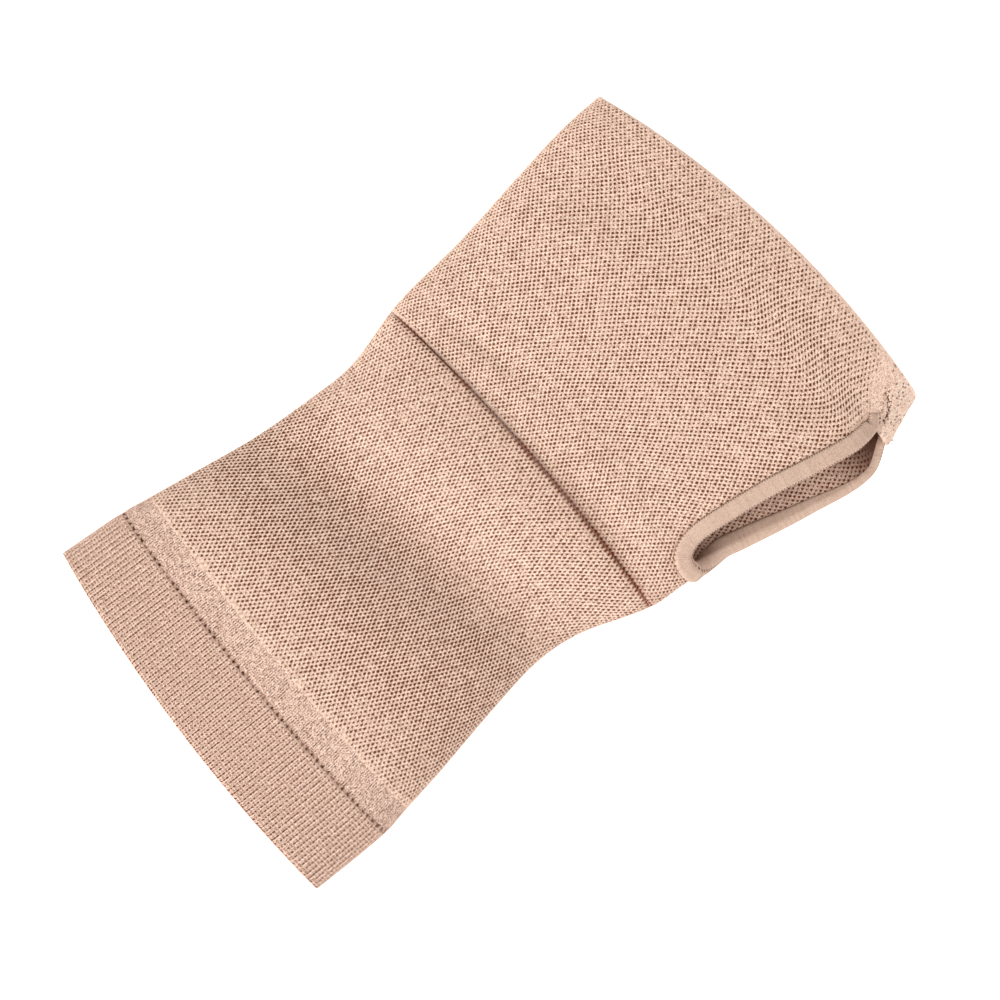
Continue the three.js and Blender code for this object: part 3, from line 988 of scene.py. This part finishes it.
# The picot holes along the rim and the notches at the hems: their steps along the tape, their
# place and width across it, and where their shading begins, across the tape and along it
PICOT_STEP = 0.62
PICOT_DEPTH = 0.1
PICOT_PLACE = 0.41
PICOT_WIDTH = 0.03
PICOT_EDGE = (0.012, 0.034)
PICOT_BEAT = (-0.1, 0.8)
NOTCH_STEP = 0.55
NOTCH_EDGE = (0.46, 0.5)
NOTCH_BEAT = (-0.3, 0.8)
TAPE_FINISH = (0.6, 0.1)
TAPE_FUZZ = 3600.0
TAPE_YARN = 0.05
TAPE_COLOUR = colour(186, 155, 135)
TAPE_LIGHT = colour(216, 187, 169)
TAPE_SHADOW = colour(96, 58, 38)

tape_front_along, tape_front_ring = over_face(smooth_line(FRONT_EDGE + TAPE_END, FRONT_STEPS))
tape_back_along, tape_back_ring = round_fold(smooth_line(BACK_EDGE + TAPE_RETURN, BACK_STEPS))
route_along = np.concatenate([tape_front_along[::-1], tape_back_along])
route_ring = np.concatenate([tape_front_ring[::-1], tape_back_ring])
route = mid_wall(route_along, route_ring)
around, lengthways = wall_axes(route_along, route_ring, PALM_WALL / 2, TAPE_NUDGE)


def unit(vectors):
    return vectors / np.linalg.norm(vectors, axis=-1, keepdims=True)


route_run = np.concatenate([[0], np.cumsum(np.linalg.norm(np.diff(route, axis=0), axis=1))])
tape_run = np.linspace(0, route_run[-1], round(route_run[-1] / TAPE_STEP) + 1)


def eased(values):
    """Values along the cut edge, as a stiff tape evens them out, at each step of the tape."""
    weights = np.exp(-((tape_run[:, None] - route_run) / TAPE_EASE) ** 2) * np.gradient(route_run)
    return weights @ values / weights.sum(axis=1, keepdims=True)


tape_centre = eased(route)
tape_normal = unit(eased(unit(np.cross(around, lengthways))))
tape_tangent = unit(np.gradient(tape_centre, axis=0))
tape_inward = unit(np.cross(tape_normal, tape_tangent))


def tape_profile(thin):
    """The folded tape's section, as reach past the cut edge and lift off the cloth's middle."""
    leg = np.linspace(-TAPE_BACK, 0, TAPE_LEG_POINTS)
    hem = np.maximum(0, (-leg - TAPE_HEM) / (TAPE_BACK - TAPE_HEM))
    crown = TAPE_OUT - thin - TAPE_HEM_DROP * hem ** 2
    turn = np.linspace(0, np.pi, TAPE_TURN_POINTS)[1:-1]
    reach = np.concatenate([leg, (TAPE_RIM - thin) * np.sin(turn), leg[::-1]])
    lift = np.concatenate([crown, (TAPE_OUT - thin) * np.cos(turn), -crown[::-1]])
    return reach, lift


profiles = [tape_profile(TAPE_THICK), tape_profile(0)]
tape_across = np.linspace(0, 1, len(profiles[0][0]))


def tape_width(run):
    """The share of its width that the tape's legs have: both its ends taper into the web seam."""
    ends = zip((run, tape_run[-1] - run), TAPE_TAPER, TAPE_TIPS)
    return np.minimum(*[rising_from(tip, soft_step(to_end, 0, taper)) for to_end, taper, tip in ends])


def above_floor(points):
    """The points, with none under the surface that the glove lies on."""
    points[:, 2] = np.maximum(points[:, 2], 0)
    return points


def tape_place(i, j, side):
    reach, lift = profiles[side]
    width = tape_width(tape_run[j])
    reach = reach[i] * np.where(reach[i] < 0, width, rising_from(RIM_TIP, width))
    rib = TAPE_RIB * np.where(j % 2, 1, -1)
    picot = np.exp(-((tape_across[i] - PICOT_PLACE) / PICOT_WIDTH) ** 2)
    picot = PICOT_DEPTH * picot * (0.5 + 0.5 * np.cos(2 * np.pi * tape_run[j] / PICOT_STEP))
    to_end = np.minimum(tape_run[j], tape_run[-1] - tape_run[j])
    tuck = rising_from(TAPE_PRESSED, soft_step(to_end, 0, TAPE_TUCK))
    raised = (lift[i] + np.sign(lift[i]) * (rib - picot) * side) * tuck
    raised = raised * np.where(raised < 0, rising_from(UNDER_TIP, width), 1)
    point = tape_centre[j] + tape_inward[j] * reach[:, None] + tape_normal[j] * raised[:, None]
    return above_floor(point)


def tape_material():
    material, start, shader = new_material("binding_tape", *TAPE_FINISH)
    across, run = stitch_axes(start)
    line = (run * (0.5 / TAPE_STEP)).wave() * 0.5 + 0.5
    own = chance(start, (run * (0.25 / TAPE_STEP)).whole(), 5.0, 6.0)
    fuzz = flecks(start, TAPE_FUZZ)
    side = (across - 0.5).size()
    picot = 1 - (across - PICOT_PLACE).size().ramp(*PICOT_EDGE)
    picot = picot * (run * (1 / PICOT_STEP)).wave().ramp(*PICOT_BEAT)
    notch = side.ramp(*NOTCH_EDGE) * (run * (1 / NOTCH_STEP)).wave().ramp(*NOTCH_BEAT)
    lit = (0.4 + 0.25 * line + 0.25 * (own - 0.5) + 1.8 * (fuzz - 0.5)).ramp(0.0, 1.0)
    tint = (picot + 0.8 * notch).ramp(0.0, 1.0).blend(lit.blend(TAPE_COLOUR, TAPE_LIGHT), TAPE_SHADOW)
    dress(start, shader, tint, line * 0.6 + fuzz * 0.4, TAPE_YARN)
    return material


tape_bm = thick_sheet(tape_across, tape_run, tape_place)
thumb_binding = add_piece("thumb_binding_tape", tape_bm, tape_material())
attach(thumb_binding, "root")
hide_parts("thumb_binding")


# Web seam
# The short seam between thumb and fingers: both faces of the mesh and the ends of the tape are
# caught together under a dense overlock, which stands a little proud and is crossed by thread.

WEB_COLUMNS = 90
WEB_COURSE = 0.2
WEB_LIPS = ((2.4, 1.4), (0.9, 1.1))
WEB_LUMP = 0.16
WEB_LOOPS = ((2.1, 0.7), (0.53, -0.9))

# How far the overlock stands proud and how far its sides are drawn in, and over which shares of
# its width it rises, turns in, and takes on the colour of the mesh
WEB_PROUD = 0.45
WEB_RISE = (0.02, 0.25)
WEB_DRAWN = 0.3
WEB_TURN = 0.03
WEB_MESH = (0.02, 0.2)

# The stitch line across it, in plan, with its reach and depth
WEB_STITCH = ((33.8, 73.0), (36.4, 72.4), (38.0, 71.2), (39.0, 69.8), (39.4, 68.2))
WEB_STITCH_STEPS = 60
WEB_STITCH_REACH = 0.45
WEB_STITCH_DEPTH = 0.3

# Its dark specks and gaps: lumps to the metre, and where their shading begins
WEB_SPECKS = 1350.0
SPECK_EDGE = (0.14, 0.42)
SPECK_SHARE = (0.0, 0.5)
WEB_GAPS = (0.8, 1.2)
WEB_FUZZ = 3600.0
WEB_CLUMPS = 2200.0
WEB_YARN = 0.15
# The overlock's colours are paler than the mesh's: painted light, which makes up for the web facing
# away from the lamp
WEB_LIGHT = colour(255, 233, 214)
WEB_MID = colour(236, 192, 170)
WEB_DARK = colour(112, 70, 50)

web_rows = tube_rows(WEB_START, PALM_END, WEB_COURSE, *WEB_LIPS)
web_stitch_line = smooth_line(WEB_STITCH, WEB_STITCH_STEPS)


def web_shape(i, j):
    """The station, ring place and depth of a point of the web, and how near it is, from 0 to 1, to
    the stitch line across it and to the mesh beside it."""
    along, course, lip = (values[j] for values in web_rows)
    front = np.interp(along, web_front_along, web_front_ring)
    back = np.interp(along, web_back_along, web_back_ring)
    share = i / WEB_COLUMNS
    ring = front + (back - front) * share
    edge = np.minimum(share, 1 - share)
    plan = wall_point(along, ring, 0)[:, None, :2] - web_stitch_line
    apart = np.linalg.norm(plan, axis=-1).min(axis=1)
    stitch = np.exp(-(apart / WEB_STITCH_REACH) ** 2) * (share < 0.5)
    proud = WEB_PROUD * soft_step(edge, *WEB_RISE) - WEB_DRAWN * (1 - soft_step(edge, 0, WEB_TURN))
    mesh = 1 - soft_step(edge, *WEB_MESH)
    lumps = WEB_LUMP * crossed_loops(WEB_LOOPS, i, j) * (1 - mesh)
    return along, ring, lip - proud + lumps + WEB_STITCH_DEPTH * stitch, stitch, mesh


def web_place(i, j, side):
    along, ring, depth = web_shape(i, j)[:3]
    return above_floor(wall_point(along, ring, depth if side else PALM_WALL - depth))


def specks(start, scale):
    """Small round spots strewn unevenly, about so many to the metre each way."""
    place = start.node("ShaderNodeTexCoord", None, None, "Object")
    sockets = {"Vector": place, "Scale": scale}
    distance = start.node("ShaderNodeTexVoronoi", None, sockets, "Distance")
    tint = start.node("ShaderNodeTexVoronoi", None, sockets, "Color")
    own = start.node("ShaderNodeSeparateColor", None, {0: tint}, "Red")
    return (1 - distance.ramp(*SPECK_EDGE)) * own.ramp(*SPECK_SHARE)


def web_material():
    material, start, shader = new_material("overlock_thread", *KNIT_FINISH)
    fuzz = flecks(start, WEB_FUZZ)
    clump = flecks(start, WEB_CLUMPS)
    spot = specks(start, WEB_SPECKS)
    gap = (start.mark("stitch") + 3.5 * (clump - 0.5)).ramp(*WEB_GAPS)
    lit = (0.55 + 4.5 * (fuzz - 0.5) + 1.5 * (clump - 0.5)).ramp(0.0, 1.0)
    mesh = start.mark("mesh")
    yarn = lit.blend(mesh.blend(WEB_MID, MESH_MID), mesh.blend(WEB_LIGHT, MESH_LIGHT))
    tint = (0.75 * spot + gap).ramp(0.0, 1.0).blend(yarn, WEB_DARK)
    dress(start, shader, tint, fuzz - spot - gap, WEB_YARN)
    return material


web_marks = {"stitch": lambda i, j: web_shape(i, j)[3], "mesh": lambda i, j: web_shape(i, j)[4]}
web_bm = thick_sheet(np.arange(WEB_COLUMNS + 1.0), web_rows[1], web_place, marks=web_marks)
web_seam = add_piece("web_seam_overlock", web_bm, web_material())
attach(web_seam, "root")
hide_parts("web_seam")


# Surroundings
# A plain pale floor that glows a little, as a light table does, a soft sky, a broad low lamp from
# the arm's side, a weaker one from the side of the thumb and fingers, and a long lens straight above.

FLOOR_HALF = 4.0
FLOOR_DROP = 0.00005
FLOOR_COLOUR = (0.88, 0.88, 0.88, 1)
FLOOR_ROUGHNESS = 0.9
FLOOR_GLOW = 0.7
WHITE = (1, 1, 1, 1)
SKY_LIGHT = 0.3
# Each lamp's strength, its height over the floor, its bearing from +X and its spread, in degrees
LAMPS = {"lamp": (4.2, 28, 253.0, 50), "fill": (1.5, 35, 45.0, 60)}
# The view: its middle and width in millimetres and its turn from +X in degrees; the camera's height
# and the reach of its sight in metres, and its sensor in millimetres
VIEW_CENTRE = (1.87, 0.4)
VIEW_WIDTH = 200.0
VIEW_TURN = 49.7
CAMERA_HEIGHT = 2.0
CAMERA_SIGHT = 100
SENSOR = 36.0

floor_bm = bmesh.new()
bmesh.ops.create_grid(floor_bm, x_segments=1, y_segments=1, size=FLOOR_HALF)
bmesh.ops.translate(floor_bm, verts=floor_bm.verts[:], vec=(0, 0, -FLOOR_DROP))
floor_material = bpy.data.materials.new("floor")
floor_material.use_nodes = True
floor_shader = floor_material.node_tree.nodes["Principled BSDF"]
floor_shader.inputs["Base Color"].default_value = FLOOR_COLOUR
floor_shader.inputs["Roughness"].default_value = FLOOR_ROUGHNESS
floor_shader.inputs["Emission Color"].default_value = WHITE
floor_shader.inputs["Emission Strength"].default_value = FLOOR_GLOW
floor = add_piece("floor", floor_bm, floor_material)

world = bpy.data.worlds.new("sky")
world.use_nodes = True
world.node_tree.nodes["Background"].inputs["Color"].default_value = WHITE
world.node_tree.nodes["Background"].inputs["Strength"].default_value = SKY_LIGHT
bpy.context.scene.world = world

for name, (strength, height, bearing, spread) in LAMPS.items():
    lamp_height = math.radians(height)
    lamp_bearing = math.radians(bearing)
    level = Vector((math.cos(lamp_bearing), math.sin(lamp_bearing), 0))
    lamp_from = level * math.cos(lamp_height) + Vector((0, 0, math.sin(lamp_height)))
    lamp = bpy.data.objects.new(name, bpy.data.lights.new(name, "SUN"))
    lamp.data.energy = strength
    lamp.data.angle = math.radians(spread)
    lamp.rotation_mode = "QUATERNION"
    lamp.rotation_quaternion = (-lamp_from).to_track_quat("-Z", "Y")
    bpy.context.scene.collection.objects.link(lamp)

camera = bpy.data.objects.new("camera", bpy.data.cameras.new("camera"))
camera.data.sensor_width = SENSOR
camera.data.lens = SENSOR * CAMERA_HEIGHT / (VIEW_WIDTH * MM)
camera.location = (VIEW_CENTRE[0] * MM, VIEW_CENTRE[1] * MM, CAMERA_HEIGHT)
camera.rotation_euler = (0, 0, math.radians(VIEW_TURN))
camera.data.clip_end = CAMERA_SIGHT
bpy.context.scene.collection.objects.link(camera)
bpy.context.scene.camera = camera
bpy.context.scene.view_settings.view_transform = "Standard"
